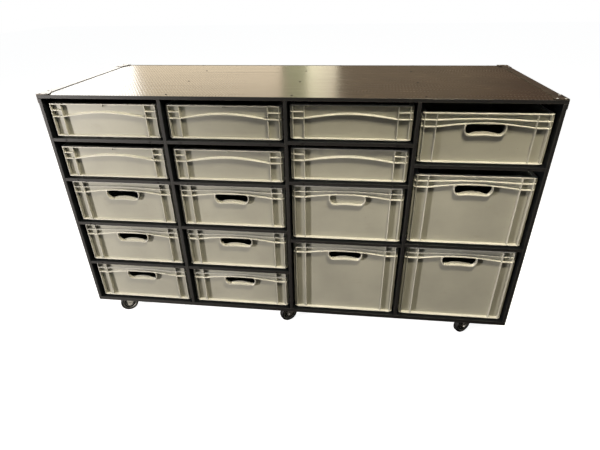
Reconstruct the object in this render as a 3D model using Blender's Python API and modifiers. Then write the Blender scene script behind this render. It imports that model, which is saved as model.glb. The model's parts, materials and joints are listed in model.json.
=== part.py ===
"""Rolling open-fronted case of plywood bays that hold stacking containers, on six swivel castors.

Units are metres and +Z is up. The origin lies on the floor under the middle of the case.
The open front faces -Y. Each container slides out along -Y, each castor fork turns about
its vertical swivel, and each wheel turns on the axle bolt in its fork.
"""

import math

import bmesh
import bpy
from mathutils import Matrix, Vector

# Gap that neighbouring solids keep where they touch
CONTACT_GAP = 0.0003
# How far a cutter runs past the face that it opens, and how deep joined solids overlap
CUT_MARGIN = 0.010
JOIN_OVERLAP = 0.001
# Points of an outline closer than this become one
MERGE_DISTANCE = 0.00001

# Boards
BOARD = 0.012
BASE_BOARD = 0.016
BACK_BOARD = 0.009

# Containers: outer size, walls and ribs
CONTAINER_WIDTH = 0.400
CONTAINER_DEPTH = 0.600
WALL = 0.003
RIB_DEPTH = 0.0125
RIB_THICKNESS = 0.003
RIM_THICKNESS = 0.004
LEDGE_THICKNESS = 0.0035
FOOT_HEIGHT = 0.005
FOOT_WALL = 0.0045
FLOOR_THICKNESS = 0.0035
CORNER_RADIUS = 0.010
CORNER_SEGMENTS = 2

# Upright ribs: how far the corner post stands past the sunk panels, and the inner rib's middle
CORNER_POST = 0.0012
INNER_FIN = 0.048
# Level ribs, measured down from the rim to the rib's middle, at the ends and at the arch's top
UPPER_RIB_DROP = 0.024
LOWER_RIB_DROP = 0.046
UPPER_ARCH_DROP = 0.0175
LOWER_ARCH_DROP = 0.030
LOW_ARCH_DROP = 0.027
ARCH_STEPS = 6

# Grip window: half widths, its gap under the lower rib, and heights from its top edge down
GRIP_HALF_TOP = 0.060
GRIP_HALF_BOTTOM = 0.050
GRIP_HEADROOM = 0.0025
GRIP_SIDE_HEIGHT = 0.011
GRIP_TAPER_HEIGHT = 0.017
GRIP_SOLE_HEIGHT = 0.008
GRIP_BOTTOM_RISE = 0.003
GRIP_SHOULDER_RISE = 0.00225
GRIP_CORNER = 0.008
GRIP_COLLAR = 0.003

# Container heights
LOW = 0.120
MIDDLE = 0.170
TALL = 0.220
DEEP = 0.270
EXTRA_DEEP = 0.320

# Columns of containers, each listed from the base up: height, free height above it, and grip
SMALL_CONTAINER_COLUMN = (
    (MIDDLE, 0.0055, "open"),
    (MIDDLE, 0.0055, "open"),
    (MIDDLE, 0.0045, "open"),
    (LOW, 0.0225, "none"),
    (LOW, 0.0200, "none"),
)
MIXED_CONTAINER_COLUMN = (
    (EXTRA_DEEP, 0.0050, "open"),
    (TALL, 0.0070, "closed"),
    (LOW, 0.0145, "none"),
    (LOW, 0.0135, "none"),
)
LARGE_CONTAINER_COLUMN = (
    (EXTRA_DEEP, 0.0095, "open"),
    (DEEP, 0.0285, "open"),
    (MIDDLE, 0.0340, "open"),
)
COLUMNS = (
    SMALL_CONTAINER_COLUMN,
    SMALL_CONTAINER_COLUMN,
    MIXED_CONTAINER_COLUMN,
    LARGE_CONTAINER_COLUMN,
)

# Room for a container in its bay: at each side, in front and behind
BAY_SIDE_CLEARANCE = 0.0065
FRONT_SETBACK = 0.012
REAR_CLEARANCE = 0.003

# Castors
CASTOR_HEIGHT = 0.100
CASTOR_SIDE_INSET = 0.117
CASTOR_FRONT_INSET = 0.085
CASTOR_COLUMNS = 3
CASTOR_YAW = math.radians(34.0)
WHEEL_WIDTH = 0.025
WHEEL_TRAIL = 0.030
WHEEL_TOP_CLEARANCE = 0.0074
TYRE_DEPTH = 0.0085
HUB_RECESS = 0.004
HUB_BOSS_RADIUS = 0.010
TREAD_CHAMFER = 0.003
WHEEL_STEPS = 16
SHARP_ANGLE = math.radians(30.0)
AXLE_RADIUS = 0.004
AXLE_STEPS = 12
AXLE_CLEARANCE = 0.0003
AXLE_NUT_RADIUS = 0.0075
AXLE_NUT_THICKNESS = 0.004
PLATE_LENGTH = 0.095
PLATE_WIDTH = 0.065
PLATE_THICKNESS = 0.003
RACE_RADIUS = 0.022
RACE_HEIGHT = 0.006
CROWN_RADIUS = 0.020
CROWN_HEIGHT = 0.005
FORK_THICKNESS = 0.003
FORK_SIDE_CLEARANCE = 0.002
FORK_FRONT_REACH = 0.016
FORK_EYE_RADIUS = 0.010
EYE_STEPS = 4
ROUND_STEPS = 16

# Edge angles and corner braces of the top board
ANGLE_LEG = 0.030
ANGLE_THICKNESS = 0.0015
BRACE_FRONT_LEG = 0.043
BRACE_SIDE_LEG = 0.067
BRACE_TIP = 0.016
BRACE_THICKNESS = 0.0012

# Fasteners
RIVET_RADIUS = 0.0042
RIVET_CROWN_RADIUS = 0.0024
RIVET_HEIGHT = 0.0014
FASTENER_STEPS = 6
RIVET_LINE_OFFSET = 0.020
RIVET_LINE_START = 0.026
RIVET_LINE_PITCH = 0.225
RIVETS_PER_LINE = 3
REAR_RIVET_COUNT = 6
REAR_RIVET_SIDE_INSET = 0.077
REAR_RIVET_INSET = 0.008
SHELF_RIVET_INSET = 0.050
BRACE_RIVET_INSET = 0.009
BRACE_RIVET_END = 0.010
BOLT_RADIUS = 0.005
BOLT_HEAD = 0.0035
BOLT_INSET = 0.009

# Sizes that follow
BAY_WIDTH = CONTAINER_WIDTH + 2 * BAY_SIDE_CLEARANCE
BAY_PITCH = BAY_WIDTH + BOARD
CASE_WIDTH = len(COLUMNS) * BAY_PITCH + BOARD
CASE_DEPTH = FRONT_SETBACK + CONTAINER_DEPTH + REAR_CLEARANCE + BACK_BOARD
INNER_HEIGHT = max(
    sum(height + free for height, free, grip in column) + BOARD * (len(column) - 1)
    for column in COLUMNS
)
BASE_TOP = CASTOR_HEIGHT + BASE_BOARD
TOP_UNDERSIDE = BASE_TOP + INNER_HEIGHT
CASE_TOP = TOP_UNDERSIDE + BOARD
CASE_LEFT = -CASE_WIDTH / 2
CASE_FRONT = -CASE_DEPTH / 2
CASE_BACK = CASE_DEPTH / 2
BACK_BOARD_FRONT = CASE_BACK - BACK_BOARD
PLATE_TOP = CASTOR_HEIGHT - CONTACT_GAP
RACE_UNDERSIDE = PLATE_TOP - PLATE_THICKNESS - RACE_HEIGHT
CROWN_TOP = RACE_UNDERSIDE - CONTACT_GAP
BRIDGE_TOP = CROWN_TOP - CROWN_HEIGHT
BRIDGE_UNDERSIDE = BRIDGE_TOP - FORK_THICKNESS
WHEEL_RADIUS = (BRIDGE_UNDERSIDE - WHEEL_TOP_CLEARANCE) / 2
AXLE_HEIGHT = WHEEL_RADIUS
FORK_INNER_HALF = WHEEL_WIDTH / 2 + FORK_SIDE_CLEARANCE


def clear_scene():
    for leftover in list(bpy.data.objects):
        bpy.data.objects.remove(leftover, do_unlink=True)


def new_collection(name):
    collection = bpy.data.collections.new(name)
    bpy.context.scene.collection.children.link(collection)
    return collection


def linear(channel):
    value = channel / 255.0
    return value / 12.92 if value <= 0.04045 else ((value + 0.055) / 1.055) ** 2.4


def new_material(name, colour, roughness, metallic=0.0):
    """Makes a Principled material from an sRGB hex colour."""
    made = bpy.data.materials.new(name)
    made.use_nodes = True
    shader = made.node_tree.nodes["Principled BSDF"]
    channels = [linear(int(colour[place : place + 2], 16)) for place in (0, 2, 4)]
    shader.inputs["Base Color"].default_value = (*channels, 1.0)
    shader.inputs["Roughness"].default_value = roughness
    shader.inputs["Metallic"].default_value = metallic
    made.diffuse_color = (*channels, 1.0)
    return made


def place_mesh(name, mesh, collection, material=None, location=(0, 0, 0), parent=None):
    piece = bpy.data.objects.new(name, mesh)
    piece.location = location
    piece.parent = parent
    if material is not None:
        piece.data.materials.clear()
        piece.data.materials.append(material)
    collection.objects.link(piece)
    return piece


def mesh_from(bm, name):
    mesh = bpy.data.meshes.new(name)
    bm.to_mesh(mesh)
    bm.free()
    return mesh


def add_block(bm, low, high):
    """Adds a box between two corners to a mesh that is being built."""
    size = Vector(high) - Vector(low)
    middle = (Vector(high) + Vector(low)) / 2
    matrix = Matrix.Translation(middle) @ Matrix.Diagonal((*size, 1.0))
    bmesh.ops.create_cube(bm, size=1.0, matrix=matrix)


def add_round(bm, radius, height, matrix, steps=ROUND_STEPS, top_radius=None):
    """Adds a capped cylinder or cone frustum, centred on the matrix along its local Z."""
    top = radius if top_radius is None else top_radius
    bmesh.ops.create_cone(
        bm, cap_ends=True, segments=steps, radius1=radius, radius2=top, depth=height, matrix=matrix
    )


def block_mesh(name, size):
    bm = bmesh.new()
    half = Vector(size) / 2
    add_block(bm, -half, half)
    return mesh_from(bm, name)


def evaluated_mesh(piece, name):
    """Gives the piece's mesh with its modifiers, or its curve's surface, as a new mesh."""
    depsgraph = bpy.context.evaluated_depsgraph_get()
    depsgraph.update()
    mesh = bpy.data.meshes.new_from_object(piece.evaluated_get(depsgraph))
    mesh.name = name
    return mesh


def outline_prism(name, points, low, high):
    """Makes a prism whose outline lies in XZ and whose ends are at y = low and y = high."""
    curve = bpy.data.curves.new(name, "CURVE")
    curve.dimensions = "2D"
    curve.fill_mode = "BOTH"
    curve.extrude = (high - low) / 2
    spline = curve.splines.new("POLY")
    spline.points.add(len(points) - 1)
    for point, (across, up) in zip(spline.points, points):
        point.co = (across, up, 0.0, 1.0)
    spline.use_cyclic_u = True
    holder = bpy.data.objects.new(name, curve)
    bpy.context.scene.collection.objects.link(holder)
    mesh = evaluated_mesh(holder, name)
    bpy.data.objects.remove(holder, do_unlink=True)
    bm = bmesh.new()
    bm.from_mesh(mesh)
    bmesh.ops.remove_doubles(bm, verts=bm.verts, dist=MERGE_DISTANCE)
    upright = Matrix.Translation((0, (low + high) / 2, 0)) @ Matrix.Rotation(math.pi / 2, 4, "X")
    bmesh.ops.transform(bm, matrix=upright, verts=bm.verts)
    bmesh.ops.recalc_face_normals(bm, faces=bm.faces)
    bm.to_mesh(mesh)
    bm.free()
    return mesh


def boolean_result(name, start, tools, cutters, operation):
    """Applies Booleans to a start mesh with a list of tool meshes, and gives the new mesh."""
    body = place_mesh(name + "_start", start, cutters)
    for number, tool_mesh in enumerate(tools):
        tool = place_mesh(f"{name}_tool_{number}", tool_mesh, cutters)
        tool.hide_render = True
        tool.display_type = "WIRE"
        modifier = body.modifiers.new(f"tool_{number}", "BOOLEAN")
        modifier.operation = operation
        modifier.solver = "EXACT"
        modifier.object = tool
    body.hide_render = True
    body.display_type = "WIRE"
    return evaluated_mesh(body, name)


def arch(drop_at_ends, drop_at_top, offset, height, start, end):
    """Gives points along an arched rib's edge, which lies offset above the rib's middle line."""
    half = CONTAINER_WIDTH / 2 - INNER_FIN
    points = []
    for step in range(ARCH_STEPS + 1):
        across = start + (end - start) * step / ARCH_STEPS
        drop = drop_at_top + (drop_at_ends - drop_at_top) * (across / half) ** 2
        points.append((across, height - drop + offset))
    return points


def grip_outline(height, grown=0.0):
    """Gives the grip window's outline from its top left corner round to its top right."""
    level = height - LOWER_ARCH_DROP - RIB_THICKNESS / 2 - GRIP_HEADROOM
    top = level + grown
    side = level - GRIP_SIDE_HEIGHT
    taper = side - GRIP_TAPER_HEIGHT
    bottom = taper - GRIP_SOLE_HEIGHT - grown
    half_top = GRIP_HALF_TOP + grown
    half_bottom = GRIP_HALF_BOTTOM + grown
    left = [
        (-half_top + GRIP_CORNER, top),
        (-half_top, top - GRIP_CORNER),
        (-half_top, side),
        (-(half_top + half_bottom) / 2, taper),
        (-half_bottom, (taper + bottom) / 2),
        (-half_bottom + GRIP_CORNER, bottom),
    ]
    middle = [
        (-half_bottom / 2, bottom + GRIP_SHOULDER_RISE),
        (0.0, bottom + GRIP_BOTTOM_RISE),
        (half_bottom / 2, bottom + GRIP_SHOULDER_RISE),
    ]
    right = [(-across, up) for across, up in reversed(left)]
    return left + middle + right


def corner_levels(height):
    """Gives the spans between the level ribs at a container's front corners."""
    half_rib = RIB_THICKNESS / 2
    upper = height - UPPER_RIB_DROP
    lower = height - LOWER_RIB_DROP
    return (
        (FOOT_HEIGHT + LEDGE_THICKNESS, lower - half_rib),
        (lower + half_rib, upper - half_rib),
        (upper + half_rib, height - RIM_THICKNESS),
    )


def front_cells(height, grip):
    """Gives the outlines of the sunk panels between the ribs of a container's front."""
    half_rib = RIB_THICKNESS / 2
    rim = height - RIM_THICKNESS
    ledge = FOOT_HEIGHT + LEDGE_THICKNESS
    inner = CONTAINER_WIDTH / 2 - INNER_FIN - half_rib
    near = inner + RIB_THICKNESS
    far = CONTAINER_WIDTH / 2 - RIB_DEPTH - CORNER_POST
    cells = []
    for side in (-1, 1):
        for low, high in corner_levels(height):
            corners = ((near, low), (far, low), (far, high), (near, high))
            cells.append([(side * across, up) for across, up in corners])
    lower_top = LOW_ARCH_DROP if grip == "none" else LOWER_ARCH_DROP
    cell = arch(LOWER_RIB_DROP, lower_top, half_rib, height, -inner, inner)
    if grip != "none":
        cells.append(cell + arch(UPPER_RIB_DROP, UPPER_ARCH_DROP, -half_rib, height, inner, -inner))
        cell = arch(UPPER_RIB_DROP, UPPER_ARCH_DROP, half_rib, height, -inner, inner)
    cells.append(cell + [(inner, rim), (-inner, rim)])
    floor = [(inner, ledge), (-inner, ledge)]
    if grip == "none":
        cells.append(arch(LOWER_RIB_DROP, lower_top, -half_rib, height, -inner, inner) + floor)
        return cells
    collar = grip_outline(height, GRIP_COLLAR)[2:-2]
    reach = collar[-1][0]
    left = arch(LOWER_RIB_DROP, lower_top, -half_rib, height, -inner, -reach)
    right = arch(LOWER_RIB_DROP, lower_top, -half_rib, height, reach, inner)
    cells.append(left + collar + right + floor)
    return cells


def container_block(name, height, cutters):
    """Makes the full block on its foot, before the panels and the inside are cut."""
    half_width = CONTAINER_WIDTH / 2
    block = bmesh.new()
    add_block(block, (-half_width, 0, FOOT_HEIGHT), (half_width, CONTAINER_DEPTH, height))
    uprights = [edge for edge in block.edges if edge.verts[0].co.xy == edge.verts[1].co.xy]
    bmesh.ops.bevel(
        block, geom=uprights, offset=CORNER_RADIUS, segments=CORNER_SEGMENTS, profile=0.5, affect="EDGES"
    )
    inset = RIB_DEPTH + WALL - FOOT_WALL
    foot = bmesh.new()
    add_block(
        foot,
        (-half_width + inset, inset, 0.0),
        (half_width - inset, CONTAINER_DEPTH - inset, FOOT_HEIGHT + JOIN_OVERLAP),
    )
    return boolean_result(name, mesh_from(block, name), [mesh_from(foot, "foot")], cutters, "UNION")


def add_side_cells(cells, height):
    """Adds the sunk panels of a container's back and sides, and the notches at its corners."""
    half_width = CONTAINER_WIDTH / 2
    half_rib = RIB_THICKNESS / 2
    ledge = FOOT_HEIGHT + LEDGE_THICKNESS
    rim = height - RIM_THICKNESS
    post = RIB_DEPTH + CORNER_POST
    notch = post - RIB_THICKNESS
    for length, along in ((CONTAINER_WIDTH, "x"), (CONTAINER_DEPTH, "y")):
        spans = (
            (post, INNER_FIN - half_rib),
            (INNER_FIN + half_rib, length - INNER_FIN - half_rib),
            (length - INNER_FIN + half_rib, length - post),
        )
        for start, end in spans:
            if along == "x":
                low = (start - half_width, CONTAINER_DEPTH - RIB_DEPTH, ledge)
                add_block(cells, low, (end - half_width, CONTAINER_DEPTH + CUT_MARGIN, rim))
            else:
                add_block(cells, (-half_width - CUT_MARGIN, start, ledge), (RIB_DEPTH - half_width, end, rim))
                add_block(cells, (half_width - RIB_DEPTH, start, ledge), (half_width + CUT_MARGIN, end, rim))
    for low, high in corner_levels(height):
        for near, far in (
            (-half_width - CUT_MARGIN, notch - half_width),
            (half_width - notch, half_width + CUT_MARGIN),
        ):
            add_block(cells, (near, -CUT_MARGIN, low), (far, notch, high))
    for near, far in (
        (-half_width - CUT_MARGIN, notch - half_width),
        (half_width - notch, half_width + CUT_MARGIN),
    ):
        add_block(cells, (near, CONTAINER_DEPTH - notch, ledge), (far, CONTAINER_DEPTH + CUT_MARGIN, rim))


def container_mesh(height, grip, cutters):
    """Cuts one container: sunk panels on all four sides, notched corners, inside and grip."""
    name = f"container_{round(height * 1000)}_{grip}"
    inside = RIB_DEPTH + WALL
    reach = CONTAINER_WIDTH / 2 - inside
    cells = bmesh.new()
    for outline in front_cells(height, grip):
        cells.from_mesh(outline_prism("cell", outline, -CUT_MARGIN, RIB_DEPTH))
    add_side_cells(cells, height)
    add_block(
        cells,
        (-reach, inside, FLOOR_THICKNESS),
        (reach, CONTAINER_DEPTH - inside, height + CUT_MARGIN),
    )
    tools = [mesh_from(cells, name + "_cells")]
    if grip == "open":
        tools.append(outline_prism("window", grip_outline(height), -CUT_MARGIN, inside + CUT_MARGIN))
    if grip == "closed":
        tools.append(outline_prism("recess", grip_outline(height), -CUT_MARGIN, RIB_DEPTH))
    block = container_block(name + "_block", height, cutters)
    return boolean_result(name, block, tools, cutters, "DIFFERENCE")


def add_head(bm, point, direction, radius, top_radius, height):
    """Adds a fastener's head that stands on a face at the point and reaches a little into it."""
    turn = Vector((0, 0, 1)).rotation_difference(Vector(direction)).to_matrix().to_4x4()
    middle = Vector(point) + Vector(direction) * (height - JOIN_OVERLAP) / 2
    place = Matrix.Translation(middle) @ turn
    add_round(bm, radius, height + JOIN_OVERLAP, place, FASTENER_STEPS, top_radius)


def rivet_heads(name, places):
    """Makes rivet heads at pairs of a point and a direction, as one joining tool."""
    bm = bmesh.new()
    for point, direction in places:
        add_head(bm, point, direction, RIVET_RADIUS, RIVET_CROWN_RADIUS, RIVET_HEIGHT)
    return mesh_from(bm, name)


def add_board(name, low, high, parts, material):
    """Places one board between two corners."""
    size = Vector(high) - Vector(low)
    middle = (Vector(high) + Vector(low)) / 2
    return place_mesh(name, block_mesh(name, size), parts, material, middle)


def column_middle(column):
    return CASE_LEFT + BOARD + BAY_WIDTH / 2 + column * BAY_PITCH


def divider_middle(divider):
    return CASE_LEFT + BOARD / 2 + (divider + 1) * BAY_PITCH


def bay_floors(column):
    """Gives the height of the board that each container of a column stands on, from the base up."""
    floors = []
    level = BASE_TOP
    for height, free, grip in COLUMNS[column]:
        floors.append(level)
        level += height + free + BOARD
    return floors


def top_rivet_points():
    """Gives the rivets of the top board: a line beside each divider and one along the rear edge."""
    points = []
    for divider in range(len(COLUMNS) - 1):
        across = divider_middle(divider) + RIVET_LINE_OFFSET
        for number in range(RIVETS_PER_LINE):
            points.append((across, CASE_FRONT + RIVET_LINE_START + number * RIVET_LINE_PITCH))
    reach = CASE_WIDTH / 2 - REAR_RIVET_SIDE_INSET
    for number in range(REAR_RIVET_COUNT):
        across = -reach + 2 * reach * number / (REAR_RIVET_COUNT - 1)
        points.append((across, CASE_BACK - REAR_RIVET_INSET))
    return points


def build_carcass(parts, cutters, plywood):
    right = -CASE_LEFT
    gap = CONTACT_GAP
    side_low = BASE_TOP + gap
    side_high = TOP_UNDERSIDE - gap
    top_size = (CASE_WIDTH, CASE_DEPTH, BOARD)
    heads = rivet_heads(
        "top_rivets", [((across, along, BOARD / 2), (0, 0, 1)) for across, along in top_rivet_points()]
    )
    top = boolean_result("top_panel", block_mesh("top_board", top_size), [heads], cutters, "UNION")
    place_mesh("top_panel", top, parts, plywood, (0, 0, TOP_UNDERSIDE + BOARD / 2))
    add_board(
        "base_panel",
        (CASE_LEFT, CASE_FRONT, CASTOR_HEIGHT),
        (right, CASE_BACK, BASE_TOP),
        parts,
        plywood,
    )
    add_board(
        "side_panel_left",
        (CASE_LEFT, CASE_FRONT, side_low),
        (CASE_LEFT + BOARD, CASE_BACK, side_high),
        parts,
        plywood,
    )
    add_board(
        "side_panel_right",
        (right - BOARD, CASE_FRONT, side_low),
        (right, CASE_BACK, side_high),
        parts,
        plywood,
    )
    add_board(
        "back_panel",
        (CASE_LEFT + BOARD + gap, BACK_BOARD_FRONT, side_low),
        (right - BOARD - gap, CASE_BACK, side_high),
        parts,
        plywood,
    )
    for divider in range(len(COLUMNS) - 1):
        middle = divider_middle(divider)
        add_board(
            f"divider_{divider + 1}",
            (middle - BOARD / 2, CASE_FRONT, side_low),
            (middle + BOARD / 2, BACK_BOARD_FRONT - gap, side_high),
            parts,
            plywood,
        )


def shelf_mesh(cutters):
    """Makes a shelf with its two front rivets, round the middle of its top face's front edge."""
    half = BAY_WIDTH / 2 - CONTACT_GAP
    bm = bmesh.new()
    depth = BACK_BOARD_FRONT - CASE_FRONT - CONTACT_GAP
    add_block(bm, (-half, 0, -BOARD), (half, depth, 0))
    across = BAY_WIDTH / 2 - SHELF_RIVET_INSET
    heads = rivet_heads("shelf_rivets", [((side * across, 0, -BOARD / 2), (0, -1, 0)) for side in (-1, 1)])
    return boolean_result("shelf", mesh_from(bm, "shelf_board"), [heads], cutters, "UNION")


def build_shelves(parts, cutters, plywood):
    shelf = shelf_mesh(cutters)
    for column in range(len(COLUMNS)):
        for level, top in enumerate(bay_floors(column)[1:], start=1):
            place = (column_middle(column), CASE_FRONT, top)
            place_mesh(f"shelf_{column + 1}_{level}", shelf, parts, plywood, place)


def build_containers(parts, cutters, polypropylene):
    meshes = {}
    for column, contents in enumerate(COLUMNS):
        floors = bay_floors(column)
        for level, (height, free, grip) in enumerate(contents):
            if (height, grip) not in meshes:
                meshes[height, grip] = container_mesh(height, grip, cutters)
            place_mesh(
                f"container_{column + 1}_{level + 1}",
                meshes[height, grip],
                parts,
                polypropylene,
                (column_middle(column), CASE_FRONT + FRONT_SETBACK, floors[level] + CONTACT_GAP),
            )


def castor_plate_mesh(cutters):
    """Makes the top plate, its bolt heads and the swivel race under it, round the swivel axis."""
    plate = bmesh.new()
    half_length = PLATE_LENGTH / 2
    half_width = PLATE_WIDTH / 2
    low = PLATE_TOP - PLATE_THICKNESS
    add_block(plate, (-half_length, -half_width, low), (half_length, half_width, PLATE_TOP))
    race = bmesh.new()
    race_height = RACE_HEIGHT + JOIN_OVERLAP
    add_round(race, RACE_RADIUS, race_height, Matrix.Translation((0, 0, RACE_UNDERSIDE + race_height / 2)))
    bolts = bmesh.new()
    for side in (-1, 1):
        for end in (-1, 1):
            point = (side * (half_length - BOLT_INSET), end * (half_width - BOLT_INSET), low)
            add_head(bolts, point, (0, 0, -1), BOLT_RADIUS, BOLT_RADIUS, BOLT_HEAD)
    start = mesh_from(plate, "castor_plate_block")
    tools = [mesh_from(race, "race"), mesh_from(bolts, "bolts")]
    return boolean_result("castor_plate", start, tools, cutters, "UNION")


def castor_fork_mesh(cutters):
    """Makes the fork with its axle bolt. The swivel axis is local Z and the wheel trails to -X."""
    leg_outer = FORK_INNER_HALF + FORK_THICKNESS
    bridge = bmesh.new()
    rear = -WHEEL_TRAIL - FORK_EYE_RADIUS
    low = (rear, -leg_outer, BRIDGE_UNDERSIDE)
    add_block(bridge, low, (FORK_FRONT_REACH, leg_outer, BRIDGE_TOP))
    crown = bmesh.new()
    crown_height = CROWN_HEIGHT + JOIN_OVERLAP
    crown_middle = Matrix.Translation((0, 0, CROWN_TOP - crown_height / 2))
    add_round(crown, CROWN_RADIUS, crown_height, crown_middle)
    leg_top = BRIDGE_TOP - FORK_THICKNESS / 2
    leg_outline = [(rear, leg_top)]
    for step in range(EYE_STEPS + 1):
        angle = math.pi * (1 + step / EYE_STEPS)
        across = -WHEEL_TRAIL + FORK_EYE_RADIUS * math.cos(angle)
        leg_outline.append((across, AXLE_HEIGHT + FORK_EYE_RADIUS * math.sin(angle)))
    leg_outline.append((FORK_FRONT_REACH, leg_top))
    tools = [mesh_from(crown, "crown")]
    for low in (-leg_outer, FORK_INNER_HALF):
        tools.append(outline_prism("leg", leg_outline, low, low + FORK_THICKNESS))
    lying = Matrix.Translation((-WHEEL_TRAIL, 0, AXLE_HEIGHT)) @ Matrix.Rotation(math.pi / 2, 4, "X")
    axle = bmesh.new()
    add_round(axle, AXLE_RADIUS, 2 * leg_outer + AXLE_NUT_THICKNESS, lying, AXLE_STEPS)
    tools.append(mesh_from(axle, "axle"))
    for side in (-1, 1):
        nut = bmesh.new()
        middle = Matrix.Translation((0, side * (leg_outer + AXLE_NUT_THICKNESS / 2 - JOIN_OVERLAP), 0))
        add_round(nut, AXLE_NUT_RADIUS, AXLE_NUT_THICKNESS, middle @ lying, FASTENER_STEPS)
        tools.append(mesh_from(nut, "nut"))
    start = mesh_from(bridge, "fork_bridge")
    return boolean_result("castor_fork", start, tools, cutters, "UNION")


def wheel_mesh():
    """Turns the wheel's profile round its axle, which is local Y."""
    bore = AXLE_RADIUS + AXLE_CLEARANCE
    half = WHEEL_WIDTH / 2
    web = half - HUB_RECESS
    rim_radius = WHEEL_RADIUS - TYRE_DEPTH
    half_profile = [
        (bore, half),
        (HUB_BOSS_RADIUS, half),
        (HUB_BOSS_RADIUS, web),
        (rim_radius, web),
        (rim_radius, half),
        (WHEEL_RADIUS - TREAD_CHAMFER, half),
        (WHEEL_RADIUS, half - TREAD_CHAMFER),
    ]
    profile = half_profile + [(radius, -along) for radius, along in reversed(half_profile)]
    bm = bmesh.new()
    verts = [bm.verts.new((radius, 0.0, along)) for radius, along in profile]
    for number, vert in enumerate(verts):
        bm.edges.new((vert, verts[(number + 1) % len(verts)]))
    holder = bpy.data.objects.new("wheel_profile", mesh_from(bm, "wheel_profile"))
    bpy.context.scene.collection.objects.link(holder)
    turned = holder.modifiers.new("turned", "SCREW")
    turned.steps = WHEEL_STEPS
    turned.render_steps = WHEEL_STEPS
    turned.use_merge_vertices = True
    turned.merge_threshold = MERGE_DISTANCE
    mesh = evaluated_mesh(holder, "castor_wheel")
    bpy.data.objects.remove(holder, do_unlink=True)
    bm = bmesh.new()
    bm.from_mesh(mesh)
    bmesh.ops.transform(bm, matrix=Matrix.Rotation(math.pi / 2, 4, "X"), verts=bm.verts)
    bmesh.ops.recalc_face_normals(bm, faces=bm.faces)
    bm.to_mesh(mesh)
    bm.free()
    mesh.shade_smooth()
    mesh.set_sharp_from_angle(angle=SHARP_ANGLE)
    return mesh


def castor_places():
    """Gives each castor's swivel axis, front row first, from left to right."""
    reach = CASE_WIDTH / 2 - CASTOR_SIDE_INSET
    row = CASE_DEPTH / 2 - CASTOR_FRONT_INSET
    places = []
    for along in (-row, row):
        for number in range(CASTOR_COLUMNS):
            across = -reach + 2 * reach * number / (CASTOR_COLUMNS - 1)
            places.append((across, along))
    return places


def build_castors(parts, cutters, steel, rubber):
    plate = castor_plate_mesh(cutters)
    fork = castor_fork_mesh(cutters)
    wheel = wheel_mesh()
    for number, (across, along) in enumerate(castor_places(), start=1):
        swivel = bpy.data.objects.new(f"castor_swivel_{number}", None)
        swivel.location = (across, along, 0.0)
        swivel.rotation_euler = (0.0, 0.0, CASTOR_YAW)
        parts.objects.link(swivel)
        place_mesh(f"castor_plate_{number}", plate, parts, steel, (across, along, 0.0))
        place_mesh(f"castor_fork_{number}", fork, parts, steel, parent=swivel)
        hub = (-WHEEL_TRAIL, 0.0, AXLE_HEIGHT)
        place_mesh(f"castor_wheel_{number}", wheel, parts, rubber, hub, parent=swivel)


def brace_mesh(across, along, side, end, low):
    """Makes a cut-off triangular plate that points inwards from a top corner."""
    outline = [
        (across, along),
        (across - side * BRACE_FRONT_LEG, along),
        (across - side * BRACE_FRONT_LEG, along - end * BRACE_TIP),
        (across - side * BRACE_TIP, along - end * BRACE_SIDE_LEG),
        (across, along - end * BRACE_SIDE_LEG),
    ]
    plate = outline_prism("brace", outline, -low - BRACE_THICKNESS - JOIN_OVERLAP, -low)
    plate.transform(Matrix.Rotation(-math.pi / 2, 4, "X"))
    return plate


def build_edge_angles(parts, cutters, steel):
    """Lays an angle along each side edge of the top board, with a riveted plate at each end."""
    inside = CASE_WIDTH / 2 + CONTACT_GAP
    outside = inside + ANGLE_THICKNESS
    under = CASE_TOP + CONTACT_GAP
    over = under + ANGLE_THICKNESS
    for name, side in (("edge_angle_left", -1), ("edge_angle_right", 1)):
        outline = [
            (side * outside, over),
            (side * (outside - ANGLE_LEG), over),
            (side * (outside - ANGLE_LEG), under),
            (side * inside, under),
            (side * inside, over - ANGLE_LEG),
            (side * outside, over - ANGLE_LEG),
        ]
        tools = []
        places = []
        for end, along in ((-1, CASE_FRONT), (1, CASE_BACK)):
            tools.append(brace_mesh(side * outside, along, side, end, over - JOIN_OVERLAP))
            for inward, deep in (
                (BRACE_RIVET_INSET, BRACE_RIVET_INSET),
                (BRACE_FRONT_LEG - BRACE_RIVET_END, BRACE_RIVET_INSET),
                (BRACE_RIVET_INSET, BRACE_SIDE_LEG - BRACE_RIVET_END),
            ):
                point = (side * (outside - inward), along - end * deep, over + BRACE_THICKNESS)
                places.append((point, (0, 0, 1)))
        tools.append(rivet_heads(name + "_rivets", places))
        angle = outline_prism(name + "_angle", outline, CASE_FRONT, CASE_BACK)
        place_mesh(name, boolean_result(name, angle, tools, cutters, "UNION"), parts, steel)


def build():
    clear_scene()
    parts = new_collection("rolling_container_case")
    cutters = new_collection("cutters")
    plywood = new_material("black_faced_plywood", "23211F", 0.45)
    polypropylene = new_material("grey_polypropylene", "A8A08C", 0.5)
    steel = new_material("zinc_plated_steel", "8C8C8A", 0.35, 1.0)
    dark_steel = new_material("dark_lacquered_steel", "3A3634", 0.4, 0.6)
    rubber = new_material("black_rubber", "1B1B1C", 0.7)
    build_carcass(parts, cutters, plywood)
    build_shelves(parts, cutters, plywood)
    build_containers(parts, cutters, polypropylene)
    build_castors(parts, cutters, steel, rubber)
    build_edge_angles(parts, cutters, dark_steel)


build()
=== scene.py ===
"""Looks of a rolling case of dark film-faced plywood bays that hold grey stacking containers.

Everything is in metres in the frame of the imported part: the open front faces -Y, +Z is up and the
floor is at z = 0.
"""

import json
import math

import bmesh
import bpy
from mathutils import Matrix, Vector


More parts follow.
